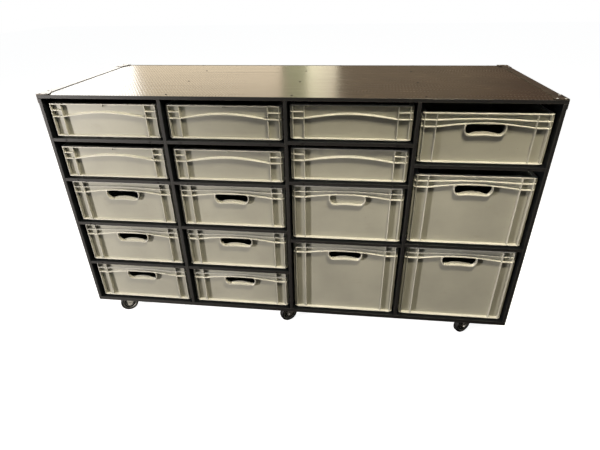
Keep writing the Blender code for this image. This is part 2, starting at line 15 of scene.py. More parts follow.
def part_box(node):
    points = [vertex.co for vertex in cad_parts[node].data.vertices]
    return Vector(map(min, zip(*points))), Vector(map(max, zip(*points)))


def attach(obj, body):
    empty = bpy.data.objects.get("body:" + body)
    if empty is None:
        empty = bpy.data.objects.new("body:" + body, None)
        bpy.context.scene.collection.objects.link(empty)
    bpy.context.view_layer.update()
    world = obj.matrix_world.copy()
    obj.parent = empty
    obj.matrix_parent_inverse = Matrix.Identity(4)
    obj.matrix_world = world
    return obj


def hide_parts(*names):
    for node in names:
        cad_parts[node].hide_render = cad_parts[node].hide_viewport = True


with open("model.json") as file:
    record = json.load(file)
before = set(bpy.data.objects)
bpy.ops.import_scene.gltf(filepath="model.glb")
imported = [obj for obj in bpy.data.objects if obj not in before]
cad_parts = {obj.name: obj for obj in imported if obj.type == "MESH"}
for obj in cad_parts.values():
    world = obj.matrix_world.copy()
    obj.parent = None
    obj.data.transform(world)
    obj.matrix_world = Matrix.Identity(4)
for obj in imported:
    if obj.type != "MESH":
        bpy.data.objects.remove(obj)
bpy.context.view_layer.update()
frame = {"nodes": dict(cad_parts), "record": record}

# Case: front and back, upper face of the top board, and a board's thickness
CASE_FRONT = -0.312
CASE_BACK = 0.312
TOP_SURFACE = 0.984
BOARD = 0.012
BOARD_EDGE_ROUND = 0.0008

# Containers of each column from the base up: height and grip
SMALL_COLUMN = ((0.170, "open"), (0.170, "open"), (0.170, "open"), (0.120, "none"), (0.120, "none"))
MIXED_COLUMN = ((0.320, "open"), (0.220, "closed"), (0.120, "none"), (0.120, "none"))
LARGE_COLUMN = ((0.320, "open"), (0.270, "open"), (0.170, "open"))
COLUMNS = (SMALL_COLUMN, SMALL_COLUMN, MIXED_COLUMN, LARGE_COLUMN)

# Container: half width, depth and how deep its outer and inner wall faces lie inside its outline
CONTAINER_HALF = 0.200
CONTAINER_DEPTH = 0.600
WALL_OUTSIDE = 0.0125
WALL_INSIDE = 0.0155
# Height of the floor inside, and radii of the outline's, the wall's and the inside's upright corners
INSIDE_FLOOR = 0.0035
PLAN_CORNER = 0.014
CORE_CORNER = 0.004
INSIDE_CORNER = 0.006
# Height of the rim, faces of the ledge round the foot, thickness of a rib and where it ends in the wall
RIM = 0.0042
LEDGE = (0.0050, 0.0086)
RIB = 0.0028
RIB_FOOT = 0.014
# Where the upright ribs start in the ledge, and how far they stay behind the outline
UPRIGHT_FOOT = 0.0070
UPRIGHT_INSET = 0.0003
# Steps of a rounded upright corner, and roundings of the moulded edges
CORNER_STEPS = 5
MOULDED_EDGE = 0.0011
RIM_EDGE = 0.0014
LEDGE_EDGE = 0.0013
INSIDE_EDGE = 0.0015
# Small tick under the middle of the rim: half width, front and drop
TICK_HALF = 0.001
TICK_FRONT = 0.002
TICK_DROP = 0.010
# How far solids reach into each other where they are joined, and cutters past what they cut
OVERLAP = 0.001
CUT_PAST = 0.01
# Middles of the upright ribs from the outline's corner, and drops of the level ribs from the rim
POST = 0.0105
INNER_RIB = 0.048
SIDE_RIBS = (0.200, 0.400)
UPPER_DROP = 0.024
LOWER_DROP = 0.046
UPPER_ARCH = 0.0175
LOWER_ARCH = 0.0305
LOW_BOX_ARCH = 0.027
ARCH_STEPS = 20
# How far an arched rib's outer edge droops at its middle, alone on a low box and in a tall one's pair
LOW_BOX_DROOP = 0.0038
DROOP = 0.0012
# Right halves of the grip's outlines from the top round to the bottom: distance from the middle
# and drop from the rim, of the collar's outer face, of its inner face and of the hand hole
COLLAR_OUTSIDE = (
    (0.0, 0.0291), (0.030, 0.0300), (0.052, 0.0322), (0.0610, 0.0345), (0.0648, 0.0390),
    (0.0655, 0.0440), (0.0655, 0.0520), (0.0630, 0.0610), (0.0580, 0.0690), (0.0520, 0.0732),
    (0.0440, 0.0742), (0.0230, 0.0728), (0.0, 0.0718),
)
COLLAR_INSIDE = (
    (0.0, 0.0335), (0.030, 0.0335), (0.050, 0.0338), (0.0575, 0.0355), (0.0615, 0.0395),
    (0.0622, 0.0440), (0.0622, 0.0515), (0.0597, 0.0600), (0.0550, 0.0670), (0.0500, 0.0700),
    (0.0430, 0.0708), (0.0230, 0.0695), (0.0, 0.0685),
)
HAND_HOLE = COLLAR_INSIDE[:9] + ((0.0500, 0.0692), (0.0430, 0.0680), (0.0230, 0.0625), (0.0, 0.0602))

# Edge angles of the top board: outer and upper face, leg, wall and rounding of the corner
ANGLE_OUTSIDE = 0.8578
ANGLE_TOP = 0.9858
ANGLE_LEG = 0.030
ANGLE_WALL = 0.0015
ANGLE_ROUND = 0.0014
# Corner plates: upper face, width, length and width of the arm, corners' radius, rivets from the corner
PLATE_SURFACE = 0.9870
PLATE_WIDTH = 0.043
PLATE_ARM = 0.067
ARM_WIDTH = 0.016
PLATE_CORNER = 0.003
PLATE_RIVETS = ((0.009, 0.009), (0.033, 0.009), (0.009, 0.057))
# Rounding of the angles' and plates' edges
STEEL_EDGE = 0.0004

# Screws in the shelves' front edges, from the middle of the bay
SCREW_REACH = 0.1565

# Rivets of the top board: rows beside the dividers, and a row along the back edge
RIVET_BESIDE = 0.020
RIVET_FIRST = 0.026
RIVET_STEP = 0.225
RIVETS_DEEP = 3
BACK_RIVETS = 6
BACK_RIVET_REACH = 0.779
BACK_RIVET_INSET = 0.008

# Screws through the outer boards: side face, bays' pitch, dividers' middles, places along the side, heights
SIDE_FACE = 0.856
BAY = 0.425
DIVIDERS = (-BAY, 0.0, BAY)
SIDE_SCREWS = (-0.24, 0.0, 0.24)
BACK_SCREWS = tuple(0.165 + 0.127 * n for n in range(7))

# Spacing of the mesh print's lines: the real 6 mm, drawn coarser so that they show
WIRE_SPACING = 0.0095

# Castors: places, turn at rest, how far the wheel trails, and its radius
CASTOR_PLACES = tuple((x, y) for y in (-0.227, 0.227) for x in (-0.739, 0.0, 0.739))
CASTOR_YAW = math.radians(34.0)
WHEEL_TRAIL = 0.030
WHEEL_RADIUS = 0.0375
# Faces of the wheel centre nearer to its middle plane than this lie in its hollows, which are painted black
# as shade
PAINTED_SHADE_REACH = 0.0085
# Castor's top plate: half sizes, faces and places of its bolts
CASTOR_PLATE = (0.0475, 0.0325)
PLATE_FACES = (0.0967, 0.0997)
PLATE_BOLTS = (0.0385, 0.0235)
# Castor's fork: half width, wall, reach behind and before the swivel axis, bridge's faces, legs' top
FORK_HALF = 0.0175
FORK_WALL = 0.003
FORK_REACH = (-0.040, 0.016)
BRIDGE_FACES = (0.0824, 0.0854)
LEG_TOP = 0.0840
# Radius of the legs' round ends at the axle, and its steps
AXLE_EYE = 0.010
EYE_STEPS = 12

# Camera, fitted to the corners of the boards and containers: lens in millimetres, place and turn in degrees
CAMERA_LENS = 25.669
CAMERA_PLACE = (0.21798, -1.68503, 1.29586)
CAMERA_TURN = (60.70028, 0.96685, 6.74622)

# Sockets of a Mix node for colours: its two colours and its result
MIX_A = 6
MIX_B = 7
MIX_RESULT = 2


def colour(text):
    """Turns an sRGB hex colour to the linear values that shaders use."""
    channels = []
    for place in (0, 2, 4):
        value = int(text[place : place + 2], 16) / 255
        channels.append(value / 12.92 if value <= 0.04045 else ((value + 0.055) / 1.055) ** 2.4)
    return (*channels, 1.0)


def add_node(tree, kind, inputs=None, ramp=None, **settings):
    """Adds a node. Inputs hold values or other nodes' outputs, and a ramp its places and colours."""
    node = tree.nodes.new(kind)
    for name, value in settings.items():
        setattr(node, name, value)
    for name, value in (inputs or {}).items():
        if isinstance(value, bpy.types.NodeSocket):
            tree.links.new(value, node.inputs[name])
        else:
            node.inputs[name].default_value = value
    if ramp:
        stops = node.color_ramp.elements
        while len(stops) < len(ramp):
            stops.new(0.5)
        for stop, (place, tone) in zip(stops, ramp):
            stop.position = place
            stop.color = colour(tone)
    return node


def new_material(name, roughness, metallic=0.0, base=None, **more):
    """Makes a material and gives its tree and shader."""
    made = bpy.data.materials.new(name)
    made.use_nodes = True
    shader = made.node_tree.nodes["Principled BSDF"]
    shader.inputs["Roughness"].default_value = roughness
    shader.inputs["Metallic"].default_value = metallic
    if base:
        shader.inputs["Base Color"].default_value = colour(base)
    for socket, value in more.items():
        shader.inputs[socket.replace("_", " ")].default_value = value
    return made, made.node_tree, shader


def mottled_material(name, roughness, metallic, scale, detail, tones, relief=0.0, **more):
    """Makes a material whose colour drifts in small clouds, which also raise it by a relief in metres."""
    made, tree, shader = new_material(name, roughness, metallic, **more)
    place = add_node(tree, "ShaderNodeTexCoord").outputs["Object"]
    cloud = add_node(tree, "ShaderNodeTexNoise", {"Vector": place, "Scale": scale, "Detail": detail})
    tint = add_node(tree, "ShaderNodeValToRGB", {"Fac": cloud.outputs["Fac"]}, tones)
    tree.links.new(tint.outputs["Color"], shader.inputs["Base Color"])
    if relief:
        inputs = {"Height": cloud.outputs["Fac"], "Distance": relief, "Strength": 1.0}
        raised = add_node(tree, "ShaderNodeBump", inputs)
        tree.links.new(raised.outputs["Normal"], shader.inputs["Normal"])
    return made


def moulded_polypropylene():
    """Injection-moulded polypropylene: a satin warm grey, a little uneven, scuffed and dusty, with painted
    highlights on the rib fronts and on what faces up.
    """
    made, tree, shader = new_material("moulded_polypropylene", 0.42)
    place = add_node(tree, "ShaderNodeTexCoord").outputs["Object"]
    # the grey drifts over some 170 mm
    cloud = add_node(tree, "ShaderNodeTexNoise", {"Vector": place, "Scale": 6.0, "Detail": 4.0})
    tones = ((0.3, "98978D"), (0.7, "A6A59A"))
    tint = add_node(tree, "ShaderNodeValToRGB", {"Fac": cloud.outputs["Fac"]}, tones)
    # scuffs are some 60 mm wide and half as high
    flattened = add_node(tree, "ShaderNodeMapping", {"Vector": place, "Scale": (1.0, 1.0, 2.2)})
    inputs = {"Vector": flattened.outputs["Vector"], "Scale": 16.0, "Detail": 8.0, "Roughness": 0.7}
    scuffs = add_node(tree, "ShaderNodeTexNoise", inputs)
    shares = ((0.60, "000000"), (0.76, "9A9A9A"))
    rubbed = add_node(tree, "ShaderNodeValToRGB", {"Fac": scuffs.outputs["Fac"]}, shares)
    inputs = {"Factor": rubbed.outputs["Color"], MIX_A: tint.outputs["Color"], MIX_B: colour("878170")}
    worn = add_node(tree, "ShaderNodeMix", inputs, data_type="RGBA")
    # specks of dirt are about 4 mm across
    specks = add_node(tree, "ShaderNodeTexNoise", {"Vector": place, "Scale": 240.0, "Detail": 2.0})
    shares = ((0.70, "000000"), (0.78, "FFFFFF"))
    marks = add_node(tree, "ShaderNodeValToRGB", {"Fac": specks.outputs["Fac"]}, shares)
    inputs = {"Factor": marks.outputs["Color"], MIX_A: worn.outputs[MIX_RESULT], MIX_B: colour("7D7466")}
    speckled = add_node(tree, "ShaderNodeMix", inputs, data_type="RGBA")
    # the outermost 6 mm of the ribs at both ends are painted pale: a painted highlight where the rib fronts
    # catch more light than the wall
    along = add_node(tree, "ShaderNodeSeparateXYZ", {"Vector": place}).outputs["Y"]
    outward = add_node(tree, "ShaderNodeMath", {0: along}, operation="ABSOLUTE")
    inputs = {
        "Value": outward.outputs[0],
        "From Min": CONTAINER_DEPTH / 2 - 0.006,
        "From Max": CONTAINER_DEPTH / 2 - 0.0005,
        "To Min": 0.0,
        "To Max": 0.6,
    }
    painted_rib_highlight = add_node(tree, "ShaderNodeMapRange", inputs).outputs["Result"]
    inputs = {"Factor": painted_rib_highlight, MIX_A: speckled.outputs[MIX_RESULT], MIX_B: colour("D1D0C8")}
    with_rib_highlight = add_node(tree, "ShaderNodeMix", inputs, data_type="RGBA")
    # pale dust lies on what faces up, and the same pale tone is partly a painted highlight of the overhead
    # light on the rib tops and ledges
    facing = add_node(tree, "ShaderNodeNewGeometry").outputs["Normal"]
    up = add_node(tree, "ShaderNodeSeparateXYZ", {"Vector": facing}).outputs["Z"]
    inputs = {"Value": up, "From Min": 0.25, "From Max": 0.85, "To Min": 0.0, "To Max": 0.9}
    dust_and_top_highlight = add_node(tree, "ShaderNodeMapRange", inputs).outputs["Result"]
    inputs = {"Factor": dust_and_top_highlight, MIX_A: with_rib_highlight.outputs[MIX_RESULT], MIX_B: colour("E3E3DB")}
    with_dust_and_top_highlight = add_node(tree, "ShaderNodeMix", inputs, data_type="RGBA")
    tree.links.new(with_dust_and_top_highlight.outputs[MIX_RESULT], shader.inputs["Base Color"])
    # the mould's grain, drawn as coarse as about 1 mm so that it shows
    grain = add_node(tree, "ShaderNodeTexNoise", {"Vector": place, "Scale": 900.0, "Detail": 2.0})
    inputs = {"Height": grain.outputs["Fac"], "Distance": 0.00008, "Strength": 1.0}
    raised = add_node(tree, "ShaderNodeBump", inputs)
    tree.links.new(raised.outputs["Normal"], shader.inputs["Normal"])
    return made


def smooth_film():
    """Phenolic film pressed on plywood: blue-black, silky, with faint wood grain under it."""
    made, tree, shader = new_material("phenolic_film", 0.4, Specular_IOR_Level=0.25)
    place = add_node(tree, "ShaderNodeTexCoord").outputs["Object"]
    # the grain runs along the boards: some 80 mm long and 6 mm wide
    drawn_out = add_node(tree, "ShaderNodeMapping", {"Vector": place, "Scale": (4.0, 60.0, 60.0)})
    inputs = {"Vector": drawn_out.outputs["Vector"], "Scale": 3.0, "Detail": 5.0}
    grain = add_node(tree, "ShaderNodeTexNoise", inputs)
    tones = ((0.3, "0D0F11"), (0.75, "15181B"))
    tint = add_node(tree, "ShaderNodeValToRGB", {"Fac": grain.outputs["Fac"]}, tones)
    # grey scuffs are some 110 mm wide and less than half as high
    flattened = add_node(tree, "ShaderNodeMapping", {"Vector": place, "Scale": (1.0, 1.0, 2.5)})
    inputs = {"Vector": flattened.outputs["Vector"], "Scale": 9.0, "Detail": 9.0, "Roughness": 0.72}
    scuffs = add_node(tree, "ShaderNodeTexNoise", inputs)
    shares = ((0.60, "000000"), (0.80, "8C8C8C"))
    rubbed = add_node(tree, "ShaderNodeValToRGB", {"Fac": scuffs.outputs["Fac"]}, shares)
    inputs = {"Factor": rubbed.outputs["Color"], MIX_A: tint.outputs["Color"], MIX_B: colour("35373A")}
    worn = add_node(tree, "ShaderNodeMix", inputs, data_type="RGBA")
    tree.links.new(worn.outputs[MIX_RESULT], shader.inputs["Base Color"])
    inputs = {"Height": grain.outputs["Fac"], "Distance": 0.0001, "Strength": 1.0}
    raised = add_node(tree, "ShaderNodeBump", inputs)
    tree.links.new(raised.outputs["Normal"], shader.inputs["Normal"])
    return made


def mesh_film():
    """Anti-slip film with a pressed wire-mesh print: dark brown, glossy on the raised lines."""
    made, tree, shader = new_material("wire_mesh_film", 0.2)
    place = add_node(tree, "ShaderNodeTexCoord").outputs["Object"]
    lines = []
    for turn in (math.radians(30), math.radians(-30)):
        turned_place = add_node(tree, "ShaderNodeMapping", {"Vector": place, "Rotation": (0.0, 0.0, turn)})
        # a wave repeats every pi / 10 of its scaled place
        inputs = {
            "Vector": turned_place.outputs["Vector"],
            "Scale": math.pi / 10 / WIRE_SPACING,
            "Distortion": 0.0,
        }
        wave = add_node(tree, "ShaderNodeTexWave", inputs, wave_profile="SIN")
        lines.append(wave.outputs["Fac"])
    # the wires that run across lie deeper than the others
    deeper = add_node(tree, "ShaderNodeMath", {0: lines[0], 1: 0.4}, operation="MULTIPLY").outputs[0]
    woven = add_node(tree, "ShaderNodeMath", {0: lines[1], 1: deeper}, operation="MAXIMUM").outputs[0]
    # the brown drifts over some 200 mm
    wear = add_node(tree, "ShaderNodeTexNoise", {"Vector": place, "Scale": 5.0, "Detail": 6.0})
    tones = ((0.35, "2B241E"), (0.7, "3A3028"))
    tint = add_node(tree, "ShaderNodeValToRGB", {"Fac": wear.outputs["Fac"]}, tones)
    # crates dragged along the case leave fine lines some 7 mm apart, and a few pale scratches 3 mm wide
    drawn_out = add_node(tree, "ShaderNodeMapping", {"Vector": place, "Scale": (1.6, 150.0, 1.0)})
    inputs = {"Vector": drawn_out.outputs["Vector"], "Scale": 1.0, "Detail": 4.0}
    dragged = add_node(tree, "ShaderNodeTexNoise", inputs).outputs["Fac"]
    inputs = {"Vector": place, "Rotation": (0.0, 0.0, math.radians(2)), "Scale": (13.0, 330.0, 1.0)}
    slanted = add_node(tree, "ShaderNodeMapping", inputs)
    inputs = {"Vector": slanted.outputs["Vector"], "Scale": 1.0, "Detail": 1.0}
    gouged = add_node(tree, "ShaderNodeTexNoise", inputs)
    shares = ((0.72, "000000"), (0.76, "DDDDDD"))
    scratch = add_node(tree, "ShaderNodeValToRGB", {"Fac": gouged.outputs["Fac"]}, shares)
    inputs = {"Factor": scratch.outputs["Color"], MIX_A: tint.outputs["Color"], MIX_B: colour("A39583")}
    marked = add_node(tree, "ShaderNodeMix", inputs, data_type="RGBA")
    # the film is worn dull along the last 12 mm before the back edge
    back = add_node(tree, "ShaderNodeSeparateXYZ", {"Vector": place}).outputs["Y"]
    inputs = {"Value": back, "From Min": CASE_BACK - 0.016, "From Max": CASE_BACK - 0.012}
    edge = add_node(tree, "ShaderNodeMapRange", inputs).outputs["Result"]
    inputs = {"Factor": edge, MIX_A: marked.outputs[MIX_RESULT], MIX_B: colour("3A3029")}
    dull = add_node(tree, "ShaderNodeMix", inputs, data_type="RGBA")
    tree.links.new(dull.outputs[MIX_RESULT], shader.inputs["Base Color"])
    # raised lines are more polished, dragged and worn places less
    inputs = {"Value": woven, "From Min": 0.35, "From Max": 0.95, "To Min": 0.23, "To Max": 0.15}
    polish = add_node(tree, "ShaderNodeMapRange", inputs).outputs["Result"]
    inputs = {"Value": dragged, "From Min": 0.35, "From Max": 0.65, "To Min": -0.04, "To Max": 0.06}
    dulled = add_node(tree, "ShaderNodeMapRange", inputs).outputs["Result"]
    rough = add_node(tree, "ShaderNodeMath", {0: polish, 1: dulled}, operation="ADD").outputs[0]
    rough = add_node(tree, "ShaderNodeMath", {0: edge, 1: 0.6, 2: rough}, operation="MULTIPLY_ADD")
    tree.links.new(rough.outputs[0], shader.inputs["Roughness"])
    pressed = add_node(tree, "ShaderNodeBump", {"Height": woven, "Distance": 0.00011, "Strength": 1.0})
    inputs = {"Height": dragged, "Distance": 0.0002, "Strength": 1.0, "Normal": pressed.outputs["Normal"]}
    raised = add_node(tree, "ShaderNodeBump", inputs)
    tree.links.new(raised.outputs["Normal"], shader.inputs["Normal"])
    return made


def stained_ply_edge():
    """Sawn plywood edge under dark stain, with a painted highlight along its rounded corners, on the UV map.
    """
    made, tree, shader = new_material("stained_ply_edge", 0.56, Specular_IOR_Level=0.4)
    place = add_node(tree, "ShaderNodeUVMap", uv_map="edge").outputs["UV"]
    parts = add_node(tree, "ShaderNodeSeparateXYZ", {"Vector": place})
    # from one face of the board to the other: a pale band at each face, a painted highlight where the rounded
    # corners catch the light, then a dark film line and the plies
    tones = (
        (0.0, "3F3D39"),
        (0.06, "3F3D39"),
        (0.10, "0A0A0A"),
        (0.17, "232221"),
        (0.32, "1B1A19"),
        (0.45, "0F0E0D"),
        (0.60, "181615"),
        (0.82, "0E0D0D"),
        (0.91, "0A0A0A"),
        (0.95, "383733"),
    )
    plies_and_edge_highlight = add_node(tree, "ShaderNodeValToRGB", {"Fac": parts.outputs["X"]}, tones)
    # saw marks some 30 mm long
    stretched = add_node(tree, "ShaderNodeMapping", {"Vector": place, "Scale": (7.0, 30.0, 1.0)})
    inputs = {"Vector": stretched.outputs["Vector"], "Scale": 1.0, "Detail": 5.0}
    grain = add_node(tree, "ShaderNodeTexNoise", inputs)
    shares = ((0.42, "000000"), (0.66, "CCCCCC"))
    patches = add_node(tree, "ShaderNodeValToRGB", {"Fac": grain.outputs["Fac"]}, shares)
    inputs = {"Factor": patches.outputs["Color"], MIX_A: plies_and_edge_highlight.outputs["Color"], MIX_B: colour("100F0E")}
    worn = add_node(tree, "ShaderNodeMix", inputs, data_type="RGBA")
    tree.links.new(worn.outputs[MIX_RESULT], shader.inputs["Base Color"])
    inputs = {"Height": grain.outputs["Fac"], "Distance": 0.0003, "Strength": 1.0}
    raised = add_node(tree, "ShaderNodeBump", inputs)
    tree.links.new(raised.outputs["Normal"], shader.inputs["Normal"])
    return made


def lacquered_steel():
    """Rolled steel angle under dark lacquer: glossy, brighter where it is worn, over some 55 mm."""
    tones = ((0.3, "463F39"), (0.75, "6A6158"))
    return mottled_material("dark_lacquered_steel", 0.28, 0.7, 18.0, 5.0, tones, 0.0002)


def blackened_steel():
    """Blackened screws and rivets: dark grey metal, satin, mottled every 8 mm or so."""
    tones = ((0.3, "151413"), (0.7, "2A2826"))
    return mottled_material("blackened_steel", 0.38, 0.8, 120.0, 3.0, tones)


def zinc_plated_steel():
    """Zinc-plated pressed steel, dulled by use: grey metal, softly mottled every 11 mm or so."""
    tones = ((0.3, "A3A19A"), (0.7, "CFCDC6"))
    return mottled_material("zinc_plated_steel", 0.38, 0.8, 90.0, 4.0, tones, 0.0001)


def tyre_rubber():
    """Moulded black rubber: matt, with a little grey dust in patches of some 14 mm."""
    tones = ((0.4, "090909"), (0.8, "171616"))
    more = {"Specular_IOR_Level": 0.35}
    return mottled_material("tyre_rubber", 0.66, 0.0, 70.0, 5.0, tones, 0.0002, **more)


def hub_nylon():
    """Moulded nylon wheel centre: olive grey, satin, with dirt in it in patches of some 17 mm."""
    tones = ((0.3, "A5A396"), (0.75, "D0CEC3"))
    return mottled_material("hub_nylon", 0.42, 0.0, 60.0, 4.0, tones)


CONTAINER_PLASTIC = moulded_polypropylene()
FILM = smooth_film()
TOP_FILM = mesh_film()
PLY_EDGE = stained_ply_edge()
ANGLE_STEEL = lacquered_steel()
ZINC = zinc_plated_steel()
DARK_STEEL = blackened_steel()
RUBBER = tyre_rubber()
NYLON = hub_nylon()


def select_only(piece):
    bpy.ops.object.select_all(action="DESELECT")
    piece.select_set(True)
    bpy.context.view_layer.objects.active = piece


def open_edit(piece, kind="EDGE"):
    """Opens edit mode with nothing selected."""
    select_only(piece)
    bpy.ops.object.mode_set(mode="EDIT")
    bpy.ops.mesh.select_mode(type=kind)
    bpy.ops.mesh.select_all(action="DESELECT")


def close_edit():
    bpy.ops.object.mode_set(mode="OBJECT")


def pick_edges(piece, test):
    """Selects the edges that pass a test of their two ends and says whether there are any."""
    shape = bmesh.from_edit_mesh(piece.data)
    found = False
    for edge in shape.edges:
        wanted = test(edge)
        edge.select_set(wanted)
        found = found or wanted
    bmesh.update_edit_mesh(piece.data)
    return found


def runs_along(edge, axis):
    line = edge.verts[1].co - edge.verts[0].co
    return abs(line[axis]) > 0.999 * line.length


def is_sharp(edge):
    return edge.is_manifold and edge.calc_face_angle() > math.radians(40)


def round_edges(piece, width, steps=3, test=is_sharp):
    """Bevels the edges that pass a test."""
    open_edit(piece)
    if pick_edges(piece, test):
        bpy.ops.mesh.bevel(offset=width, segments=steps, affect="EDGES", clamp_overlap=True)
    close_edit()


def block(name, low, high, corner=0.0, edge=MOULDED_EDGE, only=None):
    """Makes a block between two corners, rounds its upright edges to a radius, then all its edges."""
    size = Vector(high) - Vector(low)
    middle = (Vector(high) + Vector(low)) / 2
    bpy.ops.object.select_all(action="DESELECT")
    bpy.ops.mesh.primitive_cube_add(size=1.0, location=middle, scale=size)
    piece = bpy.context.object
    piece.name = name
    bpy.ops.object.transform_apply(location=True, rotation=True, scale=True)
    if corner:
        chosen = only or (lambda edge: True)
        round_edges(piece, corner, CORNER_STEPS, lambda e: runs_along(e, 2) and chosen(e))
    if edge:
        round_edges(piece, edge)
    return piece


def prism(name, outline, low, high, axis="y", edge=MOULDED_EDGE):
    """Makes a prism: a circle's points are moved to the outline, then it is extruded."""
    bpy.ops.object.select_all(action="DESELECT")
    bpy.ops.mesh.primitive_circle_add(vertices=len(outline), radius=1.0, fill_type="NGON")
    piece = bpy.context.object
    piece.name = name
    for vert, (across, up) in zip(piece.data.vertices, outline):
        vert.co = (across, low, up) if axis == "y" else (across, up, low)
    open_edit(piece, "FACE")
    bpy.ops.mesh.select_all(action="SELECT")
    way = (0.0, high - low, 0.0) if axis == "y" else (0.0, 0.0, high - low)
    bpy.ops.mesh.extrude_region_move(TRANSFORM_OT_translate={"value": way})
    bpy.ops.mesh.select_all(action="SELECT")
    bpy.ops.mesh.normals_make_consistent(inside=False)
    close_edit()
    if edge:
        round_edges(piece, edge)
    return piece


def turned(name, profile, steps):
    """Spins a profile of (radius, height) points round Z. One that starts and ends on Z is open there."""
    bpy.ops.object.select_all(action="DESELECT")
    bpy.ops.mesh.primitive_circle_add(vertices=len(profile), radius=1.0, fill_type="NOTHING")
    piece = bpy.context.object
    piece.name = name
    for vert, (radius, up) in zip(piece.data.vertices, profile):
        vert.co = (radius, 0.0, up)
    open_edit(piece)
    if pick_edges(piece, lambda edge: max(vert.co.x for vert in edge.verts) < 0.000001):
        bpy.ops.mesh.delete(type="EDGE")
    bpy.ops.mesh.select_all(action="SELECT")
    bpy.ops.mesh.spin(steps=steps, angle=math.tau, center=(0, 0, 0), axis=(0, 0, 1))
    bpy.ops.mesh.select_all(action="SELECT")
    bpy.ops.mesh.remove_doubles(threshold=0.00001)
    bpy.ops.mesh.normals_make_consistent(inside=False)
    close_edit()
    return piece


def combine(piece, others, operation="UNION"):
    """Joins other solids to a piece, or cuts them from it, and removes them."""
    held = bpy.data.collections.new("tools")
    for other in others:
        held.objects.link(other)
    tool = piece.modifiers.new("tools", "BOOLEAN")
    tool.operand_type = "COLLECTION"
    tool.collection = held
    tool.operation = operation
    tool.solver = "EXACT"
    select_only(piece)
    bpy.ops.object.modifier_apply(modifier=tool.name)
    for other in others:
        bpy.data.objects.remove(other, do_unlink=True)
    bpy.data.collections.remove(held)
    return piece


def joined(name, pieces):
    """Makes one object of several."""
    bpy.ops.object.select_all(action="DESELECT")
    for piece in pieces:
        piece.select_set(True)
    bpy.context.view_layer.objects.active = pieces[0]
    bpy.ops.object.join()
    pieces[0].name = name
    return pieces[0]


def finished(piece, material, angle=32.0):
    """Smooths a piece's rounded edges, keeps its flat faces flat and gives it its material."""
    piece.data.materials.clear()
    piece.data.materials.append(material)
    select_only(piece)
    bpy.ops.object.shade_smooth_by_angle(angle=math.radians(angle))
    weighted = piece.modifiers.new("flat_faces", "WEIGHTED_NORMAL")
    weighted.keep_sharp = True
    bpy.ops.object.modifier_apply(modifier=weighted.name)
    return piece


def placed_copy(piece, name, matrix):
    """Copies a piece with its own mesh and puts the copy's place in that mesh."""
    copy = bpy.data.objects.new(name, piece.data.copy())
    copy.data.name = name
    copy.data.transform(matrix)
    bpy.context.scene.collection.objects.link(copy)
    return copy


def discard(*pieces):
    for piece in pieces:
        bpy.data.objects.remove(piece, do_unlink=True)


def stand_in(piece, body, slot, *nodes):
    """Lets a piece move with a body and stand for CAD nodes. Its slot is not used."""
    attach(piece, body)
    if nodes:
        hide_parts(*nodes)


def arch_outline(height, end_drop, top_drop):
    """Gives the outline of an arched rib between the inner upright ribs."""
    half = CONTAINER_HALF - INNER_RIB
    upper = []
    for step in range(ARCH_STEPS + 1):
        across = half * (2 * step / ARCH_STEPS - 1)
        reach = abs(across) / half
        # flatter towards the ends than a parabola
        bend = 0.78 * reach**2 + 0.11 * (1 - math.cos(math.pi * reach))
        drop = top_drop + (end_drop - top_drop) * bend
        upper.append((across, height - drop + RIB / 2))
    lower = [(across, up - RIB) for across, up in reversed(upper)]
    return upper + lower


def arch_rib(height, end_drop, top_drop, droop, wall, outer):
    """Models an arched rib from inside the wall out to its edge, which droops towards the middle."""
    half = CONTAINER_HALF - INNER_RIB
    outline = arch_outline(height, end_drop, top_drop)
    rib = prism("arch_rib", outline, min(wall, outer), max(wall, outer), edge=0)
    for vert in rib.data.vertices:
        if abs(vert.co.y - outer) < 0.0001:
            vert.co.z -= droop * (1 - (vert.co.x / half) ** 2)
    round_edges(rib, MOULDED_EDGE)
    return rib


def grip_outline(height, half):
    """Mirrors the right half of one of the grip's outlines and hangs it below the rim."""
    right = [(across, height - drop) for across, drop in half]
    return right + [(-across, up) for across, up in reversed(right[1:-1])]


